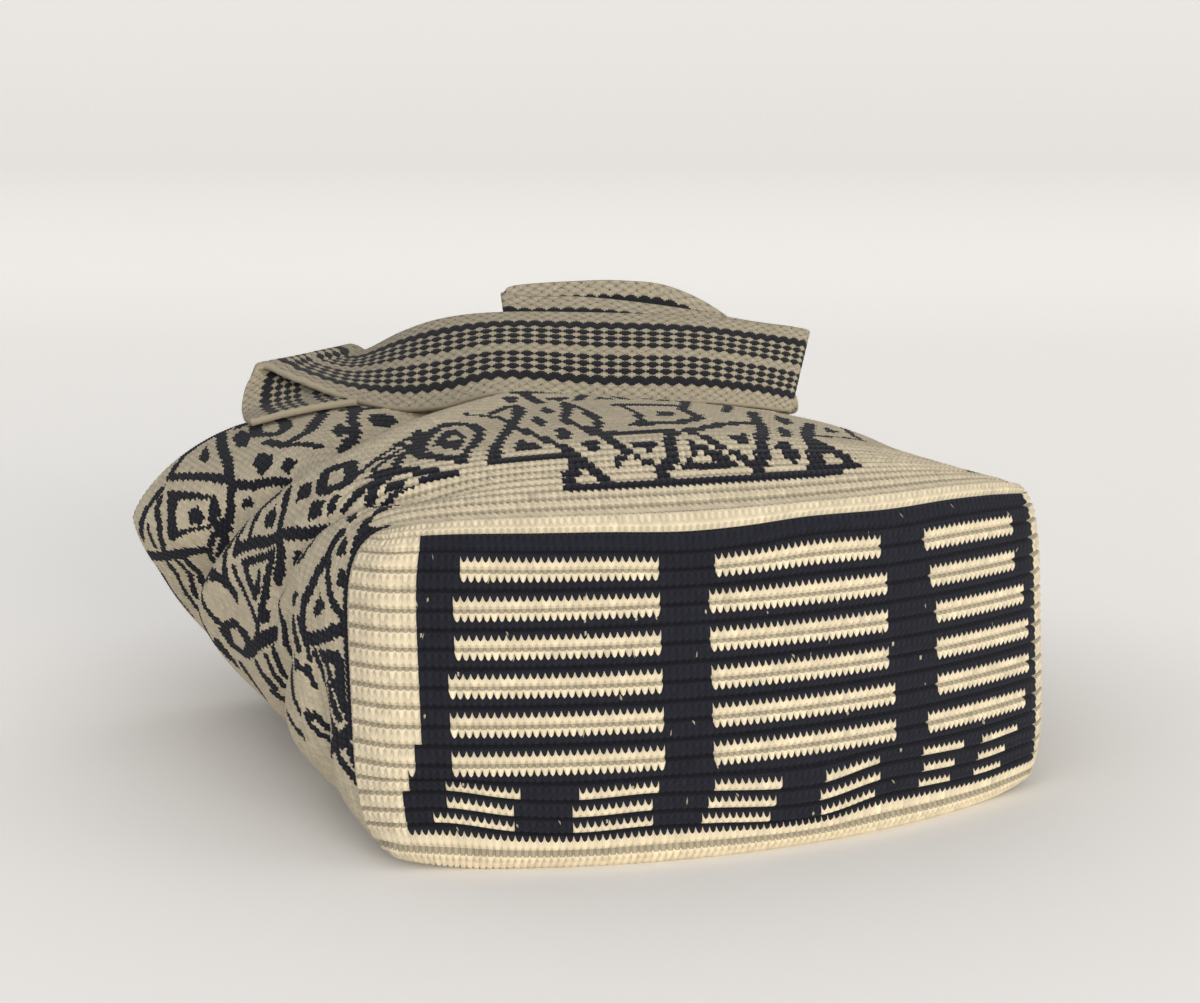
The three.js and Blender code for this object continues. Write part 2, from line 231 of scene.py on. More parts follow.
# the base panel: worked flat in rows, three blocks of six cream stripes on navy and small ones below
basePanel = {
    "columns": 114, "rows": 38, "subColumns": 4, "subRows": 3, "evenAt": 0.15, "point": 0.7,
    "relief": 1.7, "lobeShare": 0.55, "groove": 1.5, "grooveWide": 0.2, "holeWide": (0.2, 0.25),
    # painted light and shade on the yarn: its flat level, painted light on its crowns, and painted shade in
    # grooves, in the line below them and in holes
    "shades": (0.90, 0.2, 0.12, 0.4, 0.5), "shadeSpread": 0.06, "fleck": 0.003, "fleckNavy": 0.45,
    # the navy field, whose left edge steps out towards the floor
    "navyRows": (3, 36), "navyLeft": (10, 7), "leftRows": (18, 4), "navyRight": 109,
    "stripeRows": [31, 27, 23, 19, 15, 11],
    # first and last stitch of each stripe, from the top stripe down
    "blocks": [
        ([16, 15, 15, 14, 14, 14], [43, 43, 43, 43, 43, 43]),
        ([51, 50, 50, 50, 50, 50], [77, 78, 78, 78, 79, 79]),
        ([85, 86, 87, 87, 87, 85], [104, 104, 106, 107, 107, 106]),
    ],
    "small": {
        8: [(13, 23), (31, 42), (50, 60), (67, 76), (84, 92), (96, 104)],
        6: [(13, 22), (30, 41), (49, 59), (66, 76), (84, 90), (95, 101)],
        4: [(11, 22), (30, 41), (48, 58), (66, 75), (83, 89), (94, 100)],
    },
    # the lowest rows sag: how far each row stands from its even place, and how that changes along the row
    "rowDrift": [(0, 0), (3, 1), (4.5, 0.5), (6.5, 0.2), (9, 0), (38, 0)],
    "sagRows": [(1, 0), (4, 1), (8.5, 1), (11, 0)],
    "sag": [(0, 0.5), (6, 1), (13, 1.2), (22, 0.3), (31, 0), (41, 0.3), (50, 0), (60, -0.6),
            (67, -0.6), (76, 0.4), (84, 0.3), (96, 0), (104, 0.2), (114, 0.3)],
    # and the upper edge waves
    "waveRows": [(28, 0), (35, 1), (38, 0)],
    "wave": [(0, 0.3), (12, 0.4), (26, 0), (36, -0.2), (47, -0.7), (56, -0.4), (66, 0.3), (80, 0),
             (92, 0.3), (114, 0)],
}


def baseChart(i, j):
    b = basePanel
    start, end = b["leftRows"]
    f = np.clip((start - j) / (start - end), 0, 1)
    left = b["navyLeft"][0] - (b["navyLeft"][0] - b["navyLeft"][1]) * f * f * (3 - 2 * f)
    navy = (i > left) & (i < b["navyRight"]) & (j > b["navyRows"][0]) & (j < b["navyRows"][1])
    for lefts, rights in b["blocks"]:
        for row, start, end in zip(b["stripeRows"], lefts, rights):
            navy &= ~((i > start) & (i < end) & (j > row) & (j < row + 2))
    for row, ends in b["small"].items():
        for start, end in ends:
            navy &= ~((i > start) & (i < end) & (j > row) & (j < row + 1))
    return navy


def stitchGrid(columns, rows, subColumns, subRows, closed):
    x = np.arange(columns * subColumns + (0 if closed else 1)) / subColumns
    y = np.arange(rows * subRows + 1) / subRows
    return np.meshgrid(x, y)


def lobes(x, y):
    # height of the yarn inside a stitch: two lobes side by side, a groove between stitches and rows
    fx, fy = x % 1, y % 1
    across = np.abs(np.sin(2 * np.pi * fx)) ** 0.8
    across = np.where((fx > 0.4) & (fx < 0.6), 0.5, across)
    along = np.sin(np.pi * (0.12 + 0.76 * fy)) ** 0.8
    return across, along


def toFaces(stitches, subRows, subColumns):
    return np.repeat(np.repeat(stitches, subRows, 0), subColumns, 1)


def faceMean(corners):
    return (corners[1:, 1:] + corners[1:, :-1] + corners[:-1, 1:] + corners[:-1, :-1]) / 4


def arcShares(points):
    run = np.concatenate([[0], np.cumsum(np.linalg.norm(np.diff(points, axis=0), axis=1))])
    return run / run[-1]


def buildBase():
    b = basePanel
    even = np.linspace(-1, 1, 801)
    runS = arcShares(basePoints(even, np.full(even.shape, b["evenAt"])))
    runT = arcShares(basePoints(np.zeros(even.shape), even))
    gx, gy = stitchGrid(b["columns"], b["rows"], b["subColumns"], b["subRows"], False)
    # rows are worked in pairs: inside a pair they meet straight, and pairs meet in spikes that point up
    point = b["point"] * (0.6 - np.abs(np.sin(np.pi * gx))) * np.sin(np.pi * gy / 2) ** 2
    sag = smoothThrough(*zip(*b["sag"]), gx) * np.interp(gy, *zip(*b["sagRows"]))
    wave = smoothThrough(*zip(*b["wave"]), gx) * np.interp(gy, *zip(*b["waveRows"]))
    drift = np.interp(gy, *zip(*b["rowDrift"])) + sag + wave
    py = np.clip(gy + drift + np.where((gy > 0) & (gy < b["rows"]), point, 0), 0, b["rows"])
    s = np.interp(gx / b["columns"], runS, even)
    t = np.interp(py / b["rows"], runT, even)
    skin = basePoints(s, t)
    n = gridNormals(skin, False)
    across, along = lobes(gx, gy)
    height = b["lobeShare"] * across * along + (1 - b["lobeShare"]) * along
    # a groove inside each pair of rows, with painted shade darkest in the face row just below it
    groove = np.exp(-((1 - np.abs(gy % 2 - 1)) / b["grooveWide"]) ** 2)
    pair = 2 * b["subRows"]
    line = (np.arange(b["rows"] * b["subRows"]) % pair == pair - 1)[:, None]
    outer = skin + n * (b["relief"] * height - b["groove"] * groove)[..., None]
    outer[..., 2] = np.maximum(outer[..., 2], 0.0)
    each = slice(None, None, b["subRows"]), slice(None, None, b["subColumns"])
    inner = basePoints(s[each], t[each]) - n[each] * bag["wall"]
    ci, cj = np.meshgrid(np.arange(b["columns"]) + 0.5, np.arange(b["rows"]) + 0.5)
    navy = baseChart(ci, cj).astype(float)
    tone = 1 + b["shadeSpread"] * rng.standard_normal(navy.shape)
    wide, tall = b["holeWide"]
    hole = np.exp(-((0.5 - np.abs(gx % 1 - 0.5)) / wide) ** 2 - ((0.5 - np.abs(gy % 1 - 0.5)) / tall) ** 2)
    # painted light on the crowns, painted shade in grooves, in the line below them and in holes, multiplied
    # into each face's random tone
    flat, crownLight, grooveShade, lineShade, holeShade = b["shades"]
    shade = flat + crownLight * faceMean(height) - grooveShade * faceMean(groove)
    shade = shade - lineShade * line - holeShade * faceMean(hole)
    faceNavy = toFaces(navy, b["subRows"], b["subColumns"])
    fleck = (rng.random(faceNavy.shape) < b["fleck"]) & (faceMean(groove) < 0.2)
    faceNavy = np.where(fleck & (faceNavy > 0.5), b["fleckNavy"], faceNavy)
    piece = makePiece("base_crochet", outer.reshape(-1, 3), gridQuads(*outer.shape[:2], False),
                      {"navy": faceNavy, "tone": toFaces(tone, b["subRows"], b["subColumns"]) * shade},
                      yarnMat)
    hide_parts("base_panel")
    back = makePiece("base_back", inner.reshape(-1, 3), gridQuads(*inner.shape[:2], False, True),
                     {"navy": navy, "tone": tone}, yarnMat)
    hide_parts("base_panel")


buildBase()

# the body: rounds of stitches up from the base's edge. Each motif is a colour (1 navy, 0 cream), a line
# width or 0 for a filled shape, and its points as (stitch, round), read off the photograph
body = {
    "stitches": 308, "rounds": 86, "subColumns": 4, "subRows": 3, "parts": 4, "fineGrid": (1232, 345),
    "relief": 1.3, "lobeShare": 0.6, "point": 0.45, "lean": 0.35, "sink": 0.5, "ridge": 2.0, "tuck": 2.0,
    "rimSteps": 7, "rimSwell": 0.22,
    # painted light and shade on the yarn: its flat level, lower than the base's as painted shade on the top
    # and sides, painted light on its crowns and ridges, and its level inside the bag
    "shades": (0.59, 0.24, 0.5, 0.9), "shadeSpread": 0.06,
    # where rounds are plain and ridged
    "plainRounds": [(-1, 0), (0, 1), (13, 1), (22, 0.25)],
    "plainStitches": [(98, 0.15), (112, 1), (205, 1), (218, 0.15)],
    # stitches of the drawn-in left side, the upper panel with its rounds and the round where they come again,
    # the right side, and the stitch where the underside's copy of the pattern starts
    "leftSide": (50, 112), "panel": (140, 200), "panelRounds": (14, 38), "againFrom": 50,
    "rightSide": (200, 258), "underFrom": 104,
    "panelMotifs": [
        (1, 2.2, [(132.3, 5.3), (146, 5.2), (153, 4.6), (160, 5.4), (170, 5.4), (175, 6.6), (179, 8)]),
        (1, 2.0, [(132.3, 5), (133.5, 8), (135.5, 11), (137.5, 14.5)]),
        (1, 1.6, [(138, 5.5), (137.8, 10.5), (138, 15)]),
        (1, 0, [(124.2, 14.8), (139.6, 14.8), (138.6, 20), (136.8, 28), (136.2, 34), (134.4, 34.5),
                (132.6, 30), (129.6, 24.5)]),
        (0, 0, [(127.8, 16.8), (137.2, 16.8), (136.4, 22), (135.2, 28), (134.8, 30.2), (133, 27.5),
                (130.6, 23.5)]),
        (1, 0, [(130.8, 19), (134.9, 19.2), (134.5, 22), (133.4, 24.6), (132.6, 23), (131.3, 20.8)]),
        (1, 2.0, [(134.5, 33), (136.3, 37), (138.5, 41), (140.2, 45.5), (141.5, 50)]),
        (1, 1.6, [(136, 35), (135.6, 40), (134.6, 43.5), (131.5, 45)]),
        (1, 1.4, [(135.5, 45), (137.5, 47.2), (140, 50)]),
        (1, 0, [(122, 15.7), (116.7, 22.5), (117, 25.5), (119, 29.5), (121.3, 34.5), (124, 39),
                (127, 41.2), (130, 40.3), (131.2, 36.5), (130.2, 30.5), (128.4, 26), (125.7, 22),
                (123.8, 18.2)]),
        (0, 0, [(122.4, 20), (119.3, 24), (120.6, 28.5), (122.8, 33.5), (125.2, 37.6), (127.8, 39),
                (129.5, 37), (129, 33), (127.8, 28.5), (126, 25), (124, 21.8)]),
        (1, 0, [(123.3, 22.8), (121.3, 27), (123, 32), (125, 36.2), (126.8, 36.4), (127.4, 33),
                (126.4, 28.5), (125, 24.5)]),
        (0, 0, [(123.9, 28.3), (124.8, 31.6), (126.1, 32.4), (125.4, 28.9)]),
        (1, 1.0, [(105.5, 19), (108.5, 21.5), (112, 25.5), (121.8, 37.3)]),
        (1, 1.3, [(113, 20), (116.5, 26), (119, 31), (121.5, 36.5)]),
        (1, 0.9, [(110, 20.5), (112, 23), (115.5, 27.5), (118, 30.5)]),
        (1, 0.9, [(107, 11), (112, 12.6), (119, 14.3)]),
        (1, 1.8, [(112, 18.5), (114.5, 16.2), (119, 14.2)]),
        # the strip of small diamonds up the middle
        (1, 0, [(140.8, 9.6), (142, 12.6), (144, 14.9), (144.6, 13.6), (143.2, 11)]),
        (1, 0, [(140.3, 15.6), (141.2, 19.5), (143.4, 22), (143.6, 19.2), (142.3, 16.4)]),
        (1, 0, [(139.2, 21.8), (139.6, 26.4), (141.8, 29.6), (142.4, 26), (141, 22.6)]),
        (1, 0, [(138.6, 31), (138.7, 35), (140.4, 39.5), (141.3, 36.2), (140.2, 31.8)]),
        (1, 0, [(142.9, 40), (143.4, 43.6), (145, 47), (145.6, 44), (144.3, 40.6)]),
        (1, 1.7, [(145.4, 24.5), (144.7, 28.6), (143.8, 33.6), (145.4, 37.7), (147, 41.8),
                  (148.8, 46.8), (149.5, 49.5)]),
        (1, 1.6, [(146.2, 25.5), (148.3, 30.5), (149.2, 36), (149.4, 41), (149.6, 46)]),
        (1, 1.5, [(155, 29), (156.3, 34.5), (156.8, 39), (156.3, 43.2)]),
        (1, 2.6, [(156.5, 43.2), (161, 43.8), (166.5, 43.6)]),
        (1, 1.8, [(165.4, 35), (166.3, 39.5), (168.6, 44), (171, 49)]),
        (1, 2.2, [(153.4, 27.4), (160.2, 28), (163.8, 30), (165.6, 31.8), (166.7, 34.5)]),
        (1, 0, [(159.4, 33.2), (161, 32.5), (162.6, 34.6), (163.2, 37), (161, 37.4), (160, 36.3)]),
        (1, 2.2, [(159.3, 22.7), (163.4, 24.7), (167.5, 27.4), (171, 28.8), (175.6, 30), (177, 34),
                  (178, 37.3), (179.7, 41)]),
        # the triangle hanging from the upper line, and the one standing beside it
        (1, 2.4, [(145.2, 23.6), (157.5, 22.6)]),
        (1, 1.8, [(145.6, 23), (145.9, 17), (146.5, 13), (147.8, 10)]),
        (1, 1.9, [(157, 22.5), (155, 19.5), (152.8, 15.5), (150.5, 11.5), (147.8, 9.3), (146.3, 6)]),
        (1, 0, [(148.3, 19.4), (152.6, 19.5), (151.3, 17), (149.8, 15), (148.7, 15.6)]),
        (1, 0, [(151, 9.3), (154.5, 7.9), (156.5, 7.9), (160, 9), (159.8, 13), (158.8, 16.5),
                (157.9, 19), (156.6, 17.5), (155, 14), (153, 11.5)]),
        (0, 0, [(153.8, 11.3), (155.2, 12.6), (156, 14.7), (156.8, 14.5), (157.5, 12.4), (157, 10.4),
                (155.6, 9.7), (154.2, 10.2)]),
        (1, 1.9, [(162.5, 6.5), (162.1, 11), (161.4, 15), (160.9, 19), (160.2, 22)]),
        (1, 2.1, [(163.4, 8.6), (165.2, 11.4), (166.8, 13.8), (169.2, 17.4), (171.4, 21),
                  (173.6, 24.6), (175.2, 28.5)]),
        (1, 0, [(164.8, 20.2), (168, 21.6), (169.4, 21.9), (168, 18.5), (166, 16), (164.9, 17.5)]),
        (1, 0, [(169.3, 8.8), (169.2, 12), (170, 15), (172.3, 18.2), (173.8, 17.6), (173.2, 14),
                (171.3, 10.8)]),
        (1, 2.2, [(171, 6.5), (173.4, 10), (175.6, 13.2), (178.4, 18.2), (180.6, 22.7), (183, 26.4),
                  (185.6, 31), (188, 35)]),
        (1, 0, [(171.2, 4.9), (175, 5.8), (179, 7.4), (180.9, 11), (181.2, 17), (181, 20.6),
                (179, 20.6), (176.4, 15), (173.4, 9.6)]),
        (0, 0, [(173.6, 7.3), (177, 8.3), (178.3, 10.5), (177.8, 12), (179, 14.6), (176.7, 12.6),
                (175, 9.8)]),
        (1, 0, [(175.3, 20.6), (175.9, 24.4), (178.3, 28.3), (179.1, 25.4), (177.5, 21.6)]),
        (1, 0, [(180.8, 31), (181.3, 35.4), (183.6, 40), (184.7, 37), (183.1, 32)]),
        (1, 1.2, [(181.5, 22.8), (185, 24), (190.2, 25.2), (194, 26)]),
        (1, 0, [(188.4, 29.2), (189, 32.4), (191, 34.6), (191.6, 31.6), (190, 29.4)]),
        (1, 1.4, [(193.4, 26), (194.4, 31), (196, 36), (198, 42)]),
        (1, 1.5, [(173.6, 38.6), (176, 43), (178.5, 48), (180, 52)]),
    ],
    "gussetMotifs": [
        # the crossing bands under the fold and the triangle above them
        (1, 2.0, [(86.5, 44), (87.5, 42.5), (89.5, 38), (91, 32.5), (93.5, 27.5), (95.5, 21),
                  (97.5, 17), (99.5, 13.5)]),
        (1, 2.1, [(99, 33), (96.5, 31), (93, 29.5), (91.5, 27), (88.5, 27.5), (86, 29)]),
        (1, 1.5, [(98, 36), (94.5, 39.5), (92.5, 40), (90, 40)]),
        (1, 1.2, [(95.5, 41.5), (93, 43), (91, 43.5), (88, 44), (86.5, 44)]),
        (1, 0, [(96.5, 34.5), (95, 32.5), (93, 33), (92.5, 36), (94, 36.5)]),
        # squares and the ring on the way to the upper panel
        (1, 0, [(98.5, 28.5), (101, 30.5), (102.5, 28), (100.5, 25)]),
        (1, 0, [(97.5, 21), (100.5, 23), (101.5, 19.5), (99, 19)]),
        (1, 0, [(103.5, 17.5), (103, 19), (101, 18.5), (99.5, 17.5), (101, 17)]),
        (1, 0, [(93, 21.5), (92, 24), (89, 24.5), (90.5, 22.5)]),
        (1, 1.2, [(97, 15.5), (95.5, 14.5), (93, 15.5), (91.5, 17)]),
        (1, 2.2, [(108.5, 26.5), (107, 27), (105, 27.5), (103.5, 26), (102.5, 23.5), (103, 21),
                  (105, 20), (107, 21), (107.5, 23.5), (108.5, 26.5)]),
        (1, 0, [(108, 18.5), (110, 20), (113, 20), (114.5, 19), (116, 17.5), (118, 16.5), (118, 15),
                (115, 16), (112, 16.5), (109, 17)]),
        (1, 0, [(108.5, 13), (110.5, 15), (113.5, 14.5), (111.5, 13)]),
        (1, 1.6, [(105.5, 12.5), (107.5, 14.5), (110, 16), (112, 17)]),
        (1, 1.2, [(102, 15.5), (104.5, 15.5), (108, 16), (110, 17)]),
        (1, 0, [(102.5, 8.5), (102, 7), (100.5, 7), (101, 9.5)]),
        (1, 0, [(106.5, 9.5), (106, 7.5), (104.5, 7.5), (104.5, 9.5)]),
        (1, 1.3, [(100, 2.5), (101.5, 3.5), (103.5, 4.5), (106, 6), (108, 6.5)]),
        # the triangle beside the base, squares and the line along the seam
        (1, 2.2, [(98.5, 6.5), (97, 7), (94.5, 7), (92, 8.5), (89, 10), (87, 11.5), (85, 12),
                  (83, 11.5), (81.5, 10.5)]),
        (1, 0, [(89.5, 6.5), (88, 4.5), (86.5, 6), (85.5, 8), (86.5, 8.5)]),
        (1, 1.6, [(95, 6.5), (92.5, 5), (90.5, 4), (89, 3), (87.5, 1), (86.5, 0)]),
        (1, 2.0, [(81.5, 10.5), (83.5, 5), (85, 2.5), (86, 0)]),
        (1, 0, [(98.5, 5), (98, 3), (96, 2), (95.5, 4), (97, 5)]),
        (1, 0, [(94.5, 2), (93.5, 0.5), (92.5, 0), (91, 2), (93, 2.5)]),
        (1, 2.1, [(100.5, 2), (98, 0.5), (96.5, 0), (94.5, 0)]),
        (1, 0, [(99, 0), (99.5, 2), (101, 2), (103, 0.5), (104, 0)]),
        (1, 1.3, [(95, 0), (90, 0.5), (84, 0.5), (79, 0), (75, 0), (71.5, 0)]),
        # the turned triangle left of the crossing
        (1, 1.5, [(85.5, 41), (87, 37), (88.5, 33), (90, 29.5)]),
        (1, 2.0, [(85.5, 40.5), (84, 39), (83, 37), (82, 35.5)]),
        (1, 1.7, [(90, 29.5), (88.5, 30), (86.5, 31), (84.5, 32), (82, 33), (80, 33.5)]),
        (1, 1.7, [(85.5, 34), (84, 34.5), (82.5, 35)]),
        (1, 0, [(80, 34.5), (80.5, 31.5), (78.5, 31.5), (77.5, 34.5)]),
        (1, 2.5, [(77.5, 29), (76, 32), (75, 34.5), (73, 37.5), (71.5, 40.5)]),
        # lines drawn together by the long fold
        (1, 1.3, [(84, 44), (83, 43.5), (81.5, 40.5), (80.5, 38.5), (79.5, 36.5), (78, 35),
                  (76, 34.5)]),
        (1, 1.8, [(89.5, 45.5), (86, 47.5), (83, 47), (81.5, 46.5), (80.5, 45), (79.5, 43.5)]),
        (1, 1.6, [(81.5, 50), (81, 47.5), (80.5, 45.5)]),
        (1, 0, [(82, 53), (82, 50), (81, 49), (80, 51), (80.5, 53.5)]),
        (1, 1.7, [(80.5, 53.5), (79, 56), (77, 56.5), (75, 55.5), (73.5, 54), (73, 52)]),
        (1, 1.7, [(86, 61.5), (82.5, 63), (80, 64.5)]),
        (1, 1.2, [(88, 60.5), (85.5, 64), (82, 65.5), (78, 67), (74, 66.5)]),
        # the ring at the lower edge and what stands round it
        (1, 0, [(71.5, 54), (73, 52), (75.5, 46.5), (75, 40), (73.5, 36.5), (71.5, 39), (69.5, 42.5),
                (69, 46), (69, 51.5)]),
        (0, 0, [(73, 48.5), (74, 45), (72.5, 42), (70.5, 44.5), (70.5, 49)]),
        (1, 2.0, [(73, 60.5), (70, 60), (68, 60)]),
        (1, 1.8, [(69, 61), (67.5, 58.5), (66, 56)]),
        (1, 2.5, [(68.5, 56.5), (67.5, 55.5), (65.5, 54)]),
        (1, 2.5, [(66, 50), (64, 48), (62, 46)]),
        (1, 2.5, [(70, 38), (68.5, 36), (67.5, 34.5)]),
        (1, 1.7, [(74.5, 30), (72.5, 29.5), (70.5, 29.5)]),
        (1, 1.5, [(73, 32.5), (70.5, 32), (68, 31.5)]),
        (1, 2.5, [(65.5, 36), (64, 34), (63.5, 31)]),
        # between the two folds
        (1, 1.7, [(85, 26), (83.5, 26.5), (81.5, 25.5), (80, 24.5), (77.5, 24.5), (75.5, 24)]),
        (1, 0, [(87.5, 15.5), (87.5, 14), (85.5, 15), (85, 16), (86, 17)]),
        (1, 2.0, [(83, 15.5), (81.5, 14.5), (80, 13)]),
        (1, 1.2, [(84, 13), (82.5, 12), (81, 10.5), (79, 10)]),
        (1, 0, [(78.5, 15), (77.5, 12.5), (78, 10), (76, 10), (76.5, 13), (76, 15)]),
        (1, 1.2, [(76.5, 10.5), (75, 10)]),
        (1, 1.6, [(76, 16), (73, 16), (71.5, 16), (70, 15)]),
        (1, 1.8, [(80, 8.5), (78, 7), (75.5, 6.5), (73.5, 6), (71.5, 5), (70, 3.5)]),
        # the second triangle beside the base, and the lowest shapes
        (1, 1.7, [(80.5, 6.5), (81, 3.5), (81.5, 2)]),
        (1, 1.7, [(81.5, 2), (78.5, 2), (76.5, 2), (74.5, 1.5)]),
        (1, 1.2, [(80, 5.5), (79.5, 4.5), (77.5, 3.5), (76, 2.5), (74, 1), (72.5, 0.5)]),
        (1, 1.6, [(76.5, 4.5), (74.5, 4), (73.5, 3), (72.5, 2.5)]),
        (1, 2.1, [(71.5, 0), (69.5, 2), (67.5, 5)]),
        (1, 0, [(71, 12.5), (70, 11), (68.5, 12.5), (69.5, 14.5)]),
        (1, 1.6, [(70, 11), (69, 10), (68, 7)]),
        (1, 1.3, [(68.5, 13), (67, 11.5), (66.5, 8.5), (66, 6)]),
        (1, 1.6, [(67.5, 21), (66, 19), (65.5, 17)]),
        (1, 1.8, [(68.5, 0.5), (67, 0)]),
        (1, 1.7, [(66.5, 3), (65, 1), (64.5, 0)]),
    ],
    "flapMotifs": [
        # the concentric diamond and the lines round it
        (1, 0, [(88.5, 79.5), (92, 65), (90, 62.5), (86.5, 64.5), (84.5, 68.5), (80.5, 74),
                (85, 75.5)]),
        (0, 0, [(88, 74.5), (91, 66), (87, 65), (83.5, 72)]),
        (1, 0, [(87.5, 70.5), (89, 68.5), (88, 66), (86.5, 66.5), (85.5, 69)]),
        (1, 1.7, [(90.5, 82), (92, 77.5), (93.5, 72), (95, 65.5), (95.5, 61), (97, 57.5), (99.5, 54),
                  (101, 51)]),
        (1, 2.0, [(102, 85.5), (99.5, 77), (97.5, 68), (95, 62.5), (92, 61), (89.5, 61), (87, 63)]),
        (1, 1.6, [(88, 81.5), (86, 82), (84, 82.5), (81.5, 82.5), (78.5, 84)]),
        (1, 1.6, [(86.5, 80), (85, 79.5), (83, 77), (80.5, 76.5), (78, 77.5)]),
        (1, 1.4, [(81.5, 80.5), (80, 80), (78, 80)]),
        (1, 1.9, [(74.5, 86), (75.5, 82), (76.5, 78), (78, 73.5), (80, 69), (81.5, 66.5)]),
        # its underside, down to the long fold
        (1, 1.4, [(74.5, 79.5), (70.5, 80.5), (68, 80), (65.5, 78.5)]),
        (1, 1.4, [(75.5, 76), (73, 76.5), (70, 77.5), (68, 77.5)]),
        (1, 1.6, [(77, 73.5), (73.5, 74), (71, 75)]),
        (1, 1.3, [(72, 86), (69, 85.5), (66, 85), (63, 83)]),
        (1, 1.6, [(90.5, 82.5), (94.5, 85), (98.5, 85.5), (101.5, 85.5), (104, 86)]),
        (1, 0, [(95, 57.5), (94, 56), (92.5, 58.5), (93.5, 59)]),
        # the triangle beside it, then squares, a ring and a second triangle towards the strap
        (1, 0, [(98.5, 82.5), (97, 76.5), (95.5, 75.5), (95.5, 79), (97, 81.5)]),
        (1, 0, [(104.5, 81.5), (104.5, 75.5), (101.5, 69.5), (101, 73), (102, 79)]),
        (1, 0, [(102, 63.5), (103, 59), (101.5, 56.5), (99, 57), (99.5, 61)]),
        (1, 0, [(104, 56), (105, 53), (102, 52), (102, 54.5)]),
        (1, 2.2, [(105, 74), (106.5, 80), (108.5, 85), (111, 83), (111, 78), (109.5, 72), (107, 69),
                  (105, 74)]),
        (1, 0, [(103.5, 83.5), (105, 86), (107.5, 86), (106.5, 84), (105, 83)]),
        (1, 2.0, [(104.5, 67), (105.5, 60.5), (108, 58), (109.5, 55.5)]),
        (1, 2.2, [(105.5, 60.5), (109.5, 63), (111, 64.5), (113, 68.5), (115, 72.5), (117, 77),
                  (119.5, 82), (121, 86)]),
        (1, 0, [(113.5, 60), (115, 65), (117, 66), (116.5, 61.5), (115, 58.5)]),
        (1, 2.0, [(113, 54), (116, 58), (118, 62.5), (119.5, 68), (121.5, 73.5), (123.5, 80)]),
        (1, 0, [(121.5, 66), (123, 70.5), (126, 71.5), (127, 68), (124, 64.5)]),
        (1, 2.0, [(121, 77), (124.5, 75), (128, 75)]),
    ],
}


def paint(i, j):
    navy = np.zeros(i.shape)
    for key in ("panelMotifs", "gussetMotifs", "flapMotifs"):
        for colour, width, points in body[key]:
            hit = np.zeros(i.shape, bool)
            for (ax, ay), (bx, by) in zip(points, points[1:] if width else points[1:] + points[:1]):
                dx, dy = bx - ax, by - ay
                if width:
                    f = np.clip(((i - ax) * dx + (j - ay) * dy) / (dx**2 + dy**2), 0, 1)
                    hit |= np.hypot(i - ax - f * dx, j - ay - f * dy) < width / 2
                elif dy:
                    hit ^= ((ay > j) != (by > j)) & (i < dx * (j - ay) / dy + ax)
            navy[hit] = colour
    return navy


def bodyChart():
    # the colour of every face: whole stitches on the upper panel, half stitches on the drawn-in left side
    wide, high, across, up = body["stitches"], body["rounds"], body["subColumns"], body["subRows"]
    i, j = np.meshgrid(np.arange(wide) + 0.5, np.arange(high) + 0.5)
    navy = toFaces(paint(i, j), up, across)
    leftFrom, leftTo = body["leftSide"]
    i, j = np.meshgrid((np.arange(2 * leftTo) + 0.5) / 2, (np.arange(high * up) + 0.5) / up)
    navy[:, :leftTo * across] = np.repeat(paint(i, j), across // 2, 1)
    # past the strap the panel repeats
    start, end = body["panel"]
    first, last = body["panelRounds"]
    shown = navy[first * up:last * up, start * across:end * across]
    again = navy[body["againFrom"] * up:, start * across:end * across][:len(shown)]
    again[:] = np.maximum(again, shown)
    # the sides that don't show follow those that do: the right side mirrors the left one, and the underside
    # takes the panel's pattern
    start, end = body["rightSide"]
    mirrored = navy[:, leftFrom * across:(leftFrom + end - start) * across][:, ::-1]
    navy[:, start * across:end * across] = mirrored
    source, half = body["underFrom"], wide - end
    navy[:, end * across:] = navy[:, source * across:(source + half) * across]
    navy[:, :leftFrom * across] = navy[:, (source + half) * across:(source + half + leftFrom) * across]
    return navy


